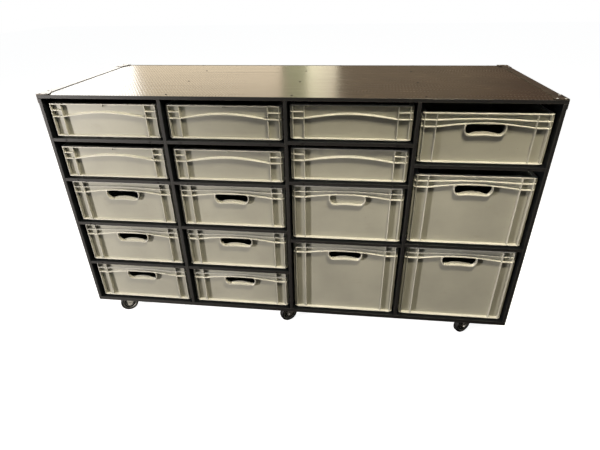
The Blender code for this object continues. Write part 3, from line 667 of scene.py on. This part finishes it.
def container(name, height, grip):
    """Models one container with its front at y = 0 and its foot at z = 0."""
    half = CONTAINER_HALF
    depth = CONTAINER_DEPTH
    rim_low = height - RIM
    core = block(
        name,
        (-half + WALL_OUTSIDE, WALL_OUTSIDE, 0.0),
        (half - WALL_OUTSIDE, depth - WALL_OUTSIDE, height - OVERLAP),
        CORE_CORNER,
    )
    solids = [
        block("rim", (-half, 0, rim_low), (half, depth, height), PLAN_CORNER, edge=RIM_EDGE),
        block("ledge", (-half, 0, LEDGE[0]), (half, depth, LEDGE[1]), PLAN_CORNER, edge=LEDGE_EDGE),
    ]
    upright_top = rim_low + OVERLAP
    for across in (POST - half, INNER_RIB - half, half - INNER_RIB, half - POST):
        for near, far in ((UPRIGHT_INSET, RIB_FOOT), (depth - RIB_FOOT, depth - UPRIGHT_INSET)):
            low = (across - RIB / 2, near, UPRIGHT_FOOT)
            solids.append(block("upright", low, (across + RIB / 2, far, upright_top)))
    uprights = (POST, INNER_RIB, *SIDE_RIBS, depth - INNER_RIB, depth - POST)
    for along in uprights:
        for near, far in ((UPRIGHT_INSET - half, RIB_FOOT - half), (half - RIB_FOOT, half - UPRIGHT_INSET)):
            low = (near, along - RIB / 2, UPRIGHT_FOOT)
            solids.append(block("upright", low, (far, along + RIB / 2, upright_top)))
    outer_edge = lambda edge: abs(edge.verts[0].co.x) > half - OVERLAP
    for side in (-1, 1):
        near, far = sorted((side * (half - INNER_RIB), side * half))
        for drop in (UPPER_DROP, LOWER_DROP):
            low = (near, 0, height - drop - RIB / 2)
            high = (far, depth, height - drop + RIB / 2)
            solids.append(block("level_rib", low, high, PLAN_CORNER, only=outer_edge))
    arches = ((UPPER_DROP, UPPER_ARCH, DROOP), (LOWER_DROP, LOWER_ARCH, DROOP))
    if grip == "none":
        arches = ((LOWER_DROP, LOW_BOX_ARCH, LOW_BOX_DROOP),)
    for wall, outer in ((RIB_FOOT, 0.0), (depth - RIB_FOOT, depth)):
        solids += [arch_rib(height, *arch, wall, outer) for arch in arches]
    if grip != "none":
        solids.append(prism("collar", grip_outline(height, COLLAR_OUTSIDE), 0.0, RIB_FOOT))
    low = (-TICK_HALF, TICK_FRONT, height - TICK_DROP)
    solids.append(block("tick", low, (TICK_HALF, RIB_FOOT, upright_top), edge=0.0004))
    combine(core, solids)
    inside = block(
        "inside",
        (-half + WALL_INSIDE, WALL_INSIDE, INSIDE_FLOOR),
        (half - WALL_INSIDE, depth - WALL_INSIDE, height + 2 * CUT_PAST),
        INSIDE_CORNER,
        edge=INSIDE_EDGE,
    )
    cuts = [inside]
    if grip != "none":
        cuts.append(prism("recess", grip_outline(height, COLLAR_INSIDE), -CUT_PAST, WALL_OUTSIDE, edge=0))
    if grip == "open":
        cuts.append(prism("hole", grip_outline(height, HAND_HOLE), -CUT_PAST, WALL_INSIDE + CUT_PAST, edge=0))
    combine(core, cuts, "DIFFERENCE")
    return finished(core, CONTAINER_PLASTIC)


def build_containers():
    models = {}
    for column, contents in enumerate(COLUMNS, start=1):
        for level, (height, grip) in enumerate(contents, start=1):
            if (height, grip) not in models:
                models[height, grip] = container("container_model", height, grip)
            node = f"container_{column}_{level}"
            low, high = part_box(node)
            place = Matrix.Translation(((low.x + high.x) / 2, low.y, low.z))
            piece = placed_copy(models[height, grip], f"box_{column}_{level}", place)
            stand_in(piece, node, "container_plastic", node)
    discard(*models.values())


def edge_map(piece, axis, low, thickness):
    """Maps a board's edge faces: across its thickness from 0 to 1, and along the edge in metres."""
    layer = piece.data.uv_layers.new(name="edge")
    for face in piece.data.polygons:
        along = max((0, 1, 2), key=lambda i: 0 if i == axis else abs(face.normal[i]) < 0.5)
        for corner in face.loop_indices:
            place = piece.data.vertices[piece.data.loops[corner].vertex_index].co
            layer.data[corner].uv = ((place[axis] - low[axis]) / thickness, place[along])


def board(node, low, high, axis, film=FILM):
    """Makes a board whose large faces have film and whose edges show the stained plies."""
    piece = finished(block("board_" + node, low, high, edge=BOARD_EDGE_ROUND), film)
    piece.data.materials.append(PLY_EDGE)
    for face in piece.data.polygons:
        if abs(face.normal[axis]) < 0.6:
            face.material_index = 1
    piece.data.uv_layers.remove(piece.data.uv_layers[0])
    edge_map(piece, axis, low, high[axis] - low[axis])
    stand_in(piece, "case", "plywood", node)


def build_boards():
    for node in frame["record"]["behaviour"]["bodies"]["case"]:
        low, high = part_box(node)
        low.y = max(low.y, CASE_FRONT)
        high.z = min(high.z, TOP_SURFACE)
        if node.startswith("shelf") or node in ("base_panel", "top_panel"):
            board(node, low, high, 2, TOP_FILM if node == "top_panel" else FILM)
        elif node.startswith(("side_panel", "divider")):
            board(node, low, high, 0)
        elif node == "back_panel":
            board(node, low, high, 1)


def domed_rivet():
    """Models a rivet's low dome with its rim on z = 0."""
    profile = (
        (0.0, 0.00140), (0.0012, 0.00132), (0.0024, 0.00100), (0.0034, 0.00055),
        (0.0041, 0.00015), (0.0042, 0.0), (0.0042, -0.0006), (0.0, -0.0006),
    )
    return turned("rivet", profile, 14)


def socket_screw():
    """Models a small pan head with a round driver socket, with its rim on z = 0."""
    profile = (
        (0.0, 0.0002), (0.0012, 0.0002), (0.0014, 0.0012), (0.0026, 0.00105),
        (0.0035, 0.0005), (0.0038, 0.0), (0.0038, -0.0008), (0.0, -0.0008),
    )
    return turned("screw", profile, 14)


def flush_screw():
    """Models a countersunk head with a round driver socket, flush but for its dished face."""
    profile = (
        (0.0, -0.0014), (0.0014, -0.0014), (0.0016, 0.0002), (0.0034, 0.0004), (0.0041, 0.0),
        (0.0041, -0.0005), (0.0, -0.0017),
    )
    return turned("flush_screw", profile, 14)


def build_outer_screws():
    """Sets the screws that hold the shelves, dividers and back board through the outer boards."""
    screw = finished(flush_screw(), ZINC)
    shelves = [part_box(node) for node in frame["nodes"] if node.startswith("shelf")]
    for name, side in (("left", -1), ("right", 1)):
        face = side * SIDE_FACE
        beside = [(low, high) for low, high in shelves if abs((low.x + high.x) / 2 - face) < BAY]
        levels = sorted({round((low.z + high.z) / 2, 4) for low, high in beside})
        places = [(face, along, level) for level in levels for along in SIDE_SCREWS]
        places += [(face, CASE_BACK - BOARD / 2, level) for level in BACK_SCREWS]
        turn = Matrix.Rotation(side * math.pi / 2, 4, "Y")
        heads = [placed_copy(screw, "head", Matrix.Translation(place) @ turn) for place in places]
        stand_in(joined(f"side_screws_{name}", heads), "case", "edge_steel")
    turn = Matrix.Rotation(-math.pi / 2, 4, "X")
    places = [(across, CASE_BACK, level) for across in DIVIDERS for level in BACK_SCREWS]
    heads = [placed_copy(screw, "head", Matrix.Translation(place) @ turn) for place in places]
    stand_in(joined("back_screws", heads), "case", "edge_steel")
    discard(screw)


def build_fasteners():
    """Sets the top board's rivets and the screws in the shelves' front edges."""
    rivet = finished(domed_rivet(), DARK_STEEL)
    deep = [CASE_FRONT + RIVET_FIRST + RIVET_STEP * n for n in range(RIVETS_DEEP)]
    places = [(x + RIVET_BESIDE, y) for x in DIVIDERS for y in deep]
    step = 2 * BACK_RIVET_REACH / (BACK_RIVETS - 1)
    places += [(-BACK_RIVET_REACH + step * n, CASE_BACK - BACK_RIVET_INSET) for n in range(BACK_RIVETS)]
    heads = [placed_copy(rivet, "head", Matrix.Translation((x, y, TOP_SURFACE))) for x, y in places]
    stand_in(joined("top_rivets", heads), "case", "edge_steel")
    screw = finished(socket_screw(), DARK_STEEL)
    forward = Matrix.Rotation(math.pi / 2, 4, "X")
    for node in frame["record"]["behaviour"]["bodies"]["case"]:
        if not node.startswith("shelf"):
            continue
        low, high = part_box(node)
        middle = (low.x + high.x) / 2
        heads = []
        for across in (middle - SCREW_REACH, middle + SCREW_REACH):
            place = Matrix.Translation((across, CASE_FRONT, high.z - BOARD / 2)) @ forward
            heads.append(placed_copy(screw, "head", place))
        stand_in(joined("screws_" + node, heads), "case", "edge_steel")
    discard(rivet, screw)


def build_edge_angles():
    """Models each rolled angle with its two corner plates and their rivets."""
    rivet = finished(domed_rivet(), ZINC)
    for name, side in (("edge_angle_left", -1), ("edge_angle_right", 1)):
        outside = side * ANGLE_OUTSIDE
        inside = outside - side * ANGLE_WALL
        leg = outside - side * ANGLE_LEG
        outline = [
            (outside, ANGLE_TOP), (leg, ANGLE_TOP), (leg, ANGLE_TOP - ANGLE_WALL),
            (inside, ANGLE_TOP - ANGLE_WALL), (inside, ANGLE_TOP - ANGLE_LEG),
            (outside, ANGLE_TOP - ANGLE_LEG),
        ]
        angle = prism(name, outline, CASE_FRONT, CASE_BACK, edge=0)
        corner_line = Vector((outside, 0.0, ANGLE_TOP))
        at_corner = lambda edge: runs_along(edge, 1) and all(
            (vert.co - corner_line).xz.length < 0.0001 for vert in edge.verts
        )
        round_edges(angle, ANGLE_ROUND, 4, at_corner)
        round_edges(angle, STEEL_EDGE, 2)
        finished(angle, ANGLE_STEEL)
        pieces = [angle]
        for end, corner in ((-1, CASE_FRONT), (1, CASE_BACK)):
            tip = corner - end * PLATE_ARM
            outline = [
                (outside, corner),
                (outside - side * PLATE_WIDTH, corner),
                (outside - side * PLATE_WIDTH, corner - end * ARM_WIDTH),
                (outside - side * ARM_WIDTH, tip),
                (outside, tip),
            ]
            plate = prism("corner_plate", outline, ANGLE_TOP - 0.0001, PLATE_SURFACE, "z", edge=0)
            round_edges(plate, PLATE_CORNER, 4, lambda edge: runs_along(edge, 2))
            round_edges(plate, STEEL_EDGE, 2)
            pieces.append(finished(plate, ANGLE_STEEL))
            for inward, deep in PLATE_RIVETS:
                place = Matrix.Translation((outside - side * inward, corner - end * deep, PLATE_SURFACE))
                pieces.append(placed_copy(rivet, "head", place))
        stand_in(joined(name + "_dressed", pieces), "case", "edge_steel", name)
    discard(rivet)


def hex_head(name, radius, low, high):
    """Models a hexagon head round Z with its corners chamfered."""
    angles = [math.tau * n / 6 for n in range(6)]
    points = [(radius * math.cos(angle), radius * math.sin(angle)) for angle in angles]
    head = prism(name, points, low, high, "z", edge=0)
    round_edges(head, 0.0006, 2)
    return head


def castor_plate_model():
    """Models the top plate, the swivel race under it and its four bolts, round the swivel axis."""
    half_long, half_wide = CASTOR_PLATE
    under, top = PLATE_FACES
    low = (-half_long, -half_wide, under)
    plate = block("castor_plate", low, (half_long, half_wide, top), 0.006, edge=0.0006)
    race = turned(
        "race",
        (
            (0.0, 0.0970), (0.0215, 0.0970), (0.0221, 0.0955), (0.0221, 0.0935), (0.0214, 0.0917),
            (0.0198, 0.0907), (0.0, 0.0907),
        ),
        40,
    )
    bolts = []
    for x, y in ((-1, -1), (-1, 1), (1, -1), (1, 1)):
        bolt = hex_head("bolt", 0.005, 0.0932, 0.0969)
        bolt.data.transform(Matrix.Translation((x * PLATE_BOLTS[0], y * PLATE_BOLTS[1], 0)))
        bolts.append(bolt)
    return finished(combine(plate, [race, *bolts]), ZINC)


def castor_fork_model():
    """Models the pressed fork with its crown and axle bolt. The wheel trails to -X of the swivel axis."""
    rear, front = FORK_REACH
    low = (rear, -FORK_HALF, BRIDGE_FACES[0])
    bridge = block("castor_fork", low, (front, FORK_HALF, BRIDGE_FACES[1]), 0.006, edge=0.0010)
    crown = turned(
        "crown",
        (
            (0.0, 0.0904), (0.0180, 0.0904), (0.0194, 0.0898), (0.0200, 0.0884), (0.0198, 0.0868),
            (0.0188, 0.0850), (0.0, 0.0850),
        ),
        40,
    )
    outline = [(rear, LEG_TOP)]
    for step in range(EYE_STEPS + 1):
        angle = math.pi * (1 + step / EYE_STEPS)
        across, up = AXLE_EYE * math.cos(angle), AXLE_EYE * math.sin(angle)
        outline.append((across - WHEEL_TRAIL, up + WHEEL_RADIUS))
    outline.append((front, LEG_TOP))
    sides = (-FORK_HALF, FORK_HALF - FORK_WALL)
    legs = [prism("leg", outline, side, side + FORK_WALL, edge=0.0007) for side in sides]
    across = Matrix.Translation((-WHEEL_TRAIL, 0, WHEEL_RADIUS)) @ Matrix.Rotation(math.pi / 2, 4, "X")
    axle = turned(
        "axle",
        (
            (0.0, 0.0202), (0.0022, 0.0200), (0.0036, 0.0192), (0.0040, 0.0180), (0.0040, -0.0180),
            (0.0036, -0.0192), (0.0022, -0.0200), (0.0, -0.0202),
        ),
        20,
    )
    nuts = [hex_head("nut", 0.0075, 0.0165, 0.0197), hex_head("nut", 0.0075, -0.0197, -0.0165)]
    for piece in (axle, *nuts):
        piece.data.transform(across)
    return finished(combine(bridge, [crown, *legs, axle, *nuts]), ZINC)


def wheel_models():
    """Models the tyre and the ringed wheel centre, both round Y."""
    tread = (
        (0.0375, 0.0), (0.0374, 0.0050), (0.0369, 0.0082), (0.0359, 0.0106), (0.0344, 0.0120),
        (0.0325, 0.0124), (0.0306, 0.0118), (0.0286, 0.0112),
    )
    rings = (
        (0.0046, 0.0123), (0.0088, 0.0123), (0.0096, 0.0115), (0.0100, 0.0080), (0.0155, 0.0076),
        (0.0166, 0.0090), (0.0182, 0.0090), (0.0193, 0.0076), (0.0245, 0.0080), (0.0258, 0.0102),
        (0.0288, 0.0106),
    )
    tyre = turned("tyre", tread + tuple((r, -y) for r, y in reversed(tread[1:])), 56)
    centre = turned("wheel_centre", rings + tuple((r, -y) for r, y in reversed(rings)), 56)
    lying = Matrix.Rotation(math.pi / 2, 4, "X")
    for piece in (tyre, centre):
        piece.data.transform(lying)
    finished(centre, NYLON, 24.0)
    # the hollows between the centre's rings get the black rubber: painted shade
    centre.data.materials.append(RUBBER)
    for face in centre.data.polygons:
        if abs(face.center.y) < PAINTED_SHADE_REACH:
            face.material_index = 1
    return finished(tyre, RUBBER), centre


def build_castors():
    plate = castor_plate_model()
    fork = castor_fork_model()
    tyre, centre = wheel_models()
    for number, (x, y) in enumerate(CASTOR_PLACES, start=1):
        swivel = Matrix.Translation((x, y, 0))
        turn = swivel @ Matrix.Rotation(CASTOR_YAW, 4, "Z")
        hub = turn @ Matrix.Translation((-WHEEL_TRAIL, 0, WHEEL_RADIUS))
        node = f"castor_plate_{number}"
        stand_in(placed_copy(plate, f"plate_{number}", swivel), "case", "zinc_steel", node)
        node = f"castor_fork_{number}"
        stand_in(placed_copy(fork, f"fork_{number}", turn), node, "zinc_steel", node)
        node = f"castor_wheel_{number}"
        stand_in(placed_copy(tyre, f"tyre_{number}", hub), node, "wheel_rubber", node)
        stand_in(placed_copy(centre, f"wheel_centre_{number}", hub), node, "wheel_rubber", node)
    discard(plate, fork, tyre, centre)


def camera():
    """Stands the camera where the photograph was taken from."""
    data = bpy.data.cameras.new("camera")
    data.lens = CAMERA_LENS
    data.sensor_width = 36.0
    data.sensor_fit = "HORIZONTAL"
    view = bpy.data.objects.new("camera", data)
    view.location = CAMERA_PLACE
    view.rotation_euler = [math.radians(turn) for turn in CAMERA_TURN]
    bpy.context.scene.collection.objects.link(view)
    bpy.context.scene.camera = view


def lamp(name, place, aim, width, height, power, tone):
    """Hangs a soft rectangular lamp that points at a place."""
    data = bpy.data.lights.new(name, "AREA")
    data.shape = "RECTANGLE"
    data.size = width
    data.size_y = height
    data.energy = power
    data.color = colour(tone)[:3]
    light = bpy.data.objects.new(name, data)
    light.location = place
    light.rotation_euler = (Vector(aim) - Vector(place)).to_track_quat("-Z", "Y").to_euler()
    bpy.context.scene.collection.objects.link(light)


def seen_rays(tree):
    """Gives 1 for what the camera, gloss or glass sees, and 0 for light that only scatters."""
    path = add_node(tree, "ShaderNodeLightPath").outputs
    inputs = {0: path["Is Camera Ray"], 1: path["Is Glossy Ray"]}
    seen = add_node(tree, "ShaderNodeMath", inputs, operation="MAXIMUM")
    inputs = {0: seen.outputs[0], 1: path["Is Transmission Ray"]}
    return add_node(tree, "ShaderNodeMath", inputs, operation="MAXIMUM").outputs[0]


def pale_floor():
    """Matt pale floor. Seen directly, in gloss or through glass it lifts to white and keeps shadows.

    Light that only scatters meets a greyer one, so that the shade between the ribs stays deep.
    """
    made = bpy.data.materials.new("pale_floor")
    made.use_nodes = True
    tree = made.node_tree
    tree.nodes.clear()
    lift = add_node(tree, "ShaderNodeEmission", {"Color": colour("FFFFFF"), "Strength": 0.955})
    matt = add_node(tree, "ShaderNodeBsdfDiffuse", {"Color": colour("E4E3E0")})
    shown = add_node(tree, "ShaderNodeAddShader", {0: lift.outputs[0], 1: matt.outputs[0]})
    greyer = add_node(tree, "ShaderNodeBsdfDiffuse", {"Color": colour("5E5D5B")})
    inputs = {0: seen_rays(tree), 1: greyer.outputs[0], 2: shown.outputs[0]}
    mixed = add_node(tree, "ShaderNodeMixShader", inputs)
    add_node(tree, "ShaderNodeOutputMaterial", {"Surface": mixed.outputs[0]})
    return made


def white_world():
    """White where the camera, gloss or glass sees it, and a weak soft light from all round."""
    world = bpy.data.worlds.new("studio")
    bpy.context.scene.world = world
    world.use_nodes = True
    tree = world.node_tree
    tree.nodes.clear()
    soft = add_node(tree, "ShaderNodeBackground", {"Color": colour("DDEAF6"), "Strength": 0.05})
    white = add_node(tree, "ShaderNodeBackground", {"Color": colour("FFFFFF"), "Strength": 1.0})
    inputs = {0: seen_rays(tree), 1: soft.outputs[0], 2: white.outputs[0]}
    mixed = add_node(tree, "ShaderNodeMixShader", inputs)
    add_node(tree, "ShaderNodeOutputWorld", {"Surface": mixed.outputs[0]})


def studio_card(name, middle, width, height, turn):
    """Stands a flat card, turned round X, that neither the camera nor scattered light sees."""
    bpy.ops.object.select_all(action="DESELECT")
    bpy.ops.mesh.primitive_plane_add(size=1.0)
    card = bpy.context.object
    card.name = name
    size = Matrix.Diagonal((width, height, 1.0, 1.0))
    card.data.transform(Matrix.Translation(middle) @ Matrix.Rotation(turn, 4, "X") @ size)
    card.visible_camera = card.visible_diffuse = False
    return card


def lamp_flag(name, middle, width, height, turn):
    """Hangs a flag that only keeps a lamp off a part of the object."""
    flag = studio_card(name, middle, width, height, turn)
    flag.visible_glossy = False
    flag.data.materials.append(new_material("flag_cloth", 0.9, base="0A0A0A")[0])


def gloss_card(name, middle, width, height, turn, tones):
    """Stands a glowing card that only gloss sees: a painted reflection. Its tones run along X, given as
    places in metres.
    """
    card = studio_card(name, middle, width, height, turn)
    card.visible_shadow = False
    made = bpy.data.materials.new(name)
    made.use_nodes = True
    tree = made.node_tree
    tree.nodes.clear()
    place = add_node(tree, "ShaderNodeTexCoord").outputs["Object"]
    across = add_node(tree, "ShaderNodeSeparateXYZ", {"Vector": place}).outputs["X"]
    low = middle[0] - width / 2
    inputs = {"Value": across, "From Min": low, "From Max": low + width}
    share = add_node(tree, "ShaderNodeMapRange", inputs)
    stops = tuple(((along - low) / width, tone) for along, tone in tones)
    paint = add_node(tree, "ShaderNodeValToRGB", {"Fac": share.outputs["Result"]}, stops)
    painted_reflection = add_node(tree, "ShaderNodeEmission", {"Color": paint.outputs["Color"], "Strength": 1.0})
    add_node(tree, "ShaderNodeOutputMaterial", {"Surface": painted_reflection.outputs[0]})
    card.data.materials.append(made)


def studio():
    """A pale floor in a white room, a far window light at the left and a warm lamp overhead.

    Glowing cards that only gloss sees paint the reflections in the dark boards and the glossy top, pale at
    the left and dark at the right. Flags keep the lamps off the top row's fronts, and three lamps behind the
    case make the bands in its glossy top.
    """
    bpy.ops.object.select_all(action="DESELECT")
    bpy.ops.mesh.primitive_plane_add(size=24.0, location=(0, 4, 0))
    floor = bpy.context.object
    floor.name = "floor"
    bpy.ops.object.transform_apply(location=True, rotation=True, scale=True)
    floor.data.materials.append(pale_floor())
    white_world()
    rear_tones = (
        (-3.8, "FFFFFF"), (-1.98, "FFFFFF"), (-1.96, "6E5F4C"), (-0.46, "6E5F4C"),
        (-0.44, "E4E1B4"), (-0.2, "E4E1B4"), (0.0, "9E8D76"), (1.2, "8F7E68"),
        (1.8, "6A584A"), (2.6, "463C38"),
    )
    gloss_card("rear_card", (-0.1, 2.6, 1.9), 7.4, 3.4, math.pi / 2, rear_tones)
    front_tones = ((-0.6, "8A8378"), (0.3, "3A3633"), (1.6, "121110"))
    gloss_card("front_card", (2.2, -4.0, 1.7), 5.6, 3.4, math.pi / 2, front_tones)
    floor_tones = (
        (-2.5, "FFF8EC"), (-0.8, "FFF8EC"), (-0.4, "A39C90"), (-0.1, "4A443F"), (0.4, "1E1B19"),
        (1.3, "0C0B0A"),
    )
    gloss_card("floor_card", (0.0, -1.6, 0.002), 6.0, 5.0, 0.0, floor_tones)
    lamp("window", (-3.45, -2.4, 0.85), (0, -0.3, 0.5), 0.32, 0.32, 176.0, "FFF7F1")
    lamp("ceiling", (0.75, -1.15, 2.45), (0.2, -0.3, 0.6), 0.6, 0.3, 58.0, "FFF2D4")
    lamp_flag("ceiling_flag", (0.46, -0.725, 1.67), 0.8, 0.05, 0.0)
    lamp_flag("window_flag", (-1.56, -1.36, 0.915), 0.68, 0.19, math.pi / 2)
    lamp("rear_window", (-2.81, 2.5, 1.5), (-2.6, 0, 1.2), 1.66, 1.3, 19.0, "FFFBF2")
    lamp("rear_curtain", (-1.22, 2.5, 1.5), (-1.22, 0, 1.3), 1.52, 1.0, 7.5, "FFECCC")
    lamp("rear_door", (-0.08, 2.5, 1.5), (-0.08, 0, 1.3), 0.28, 1.0, 1.35, "FFF3D4")


build_containers()
build_boards()
build_fasteners()
build_outer_screws()
build_edge_angles()
build_castors()
camera()
studio()

view = bpy.context.scene.view_settings
view.view_transform = "Standard"
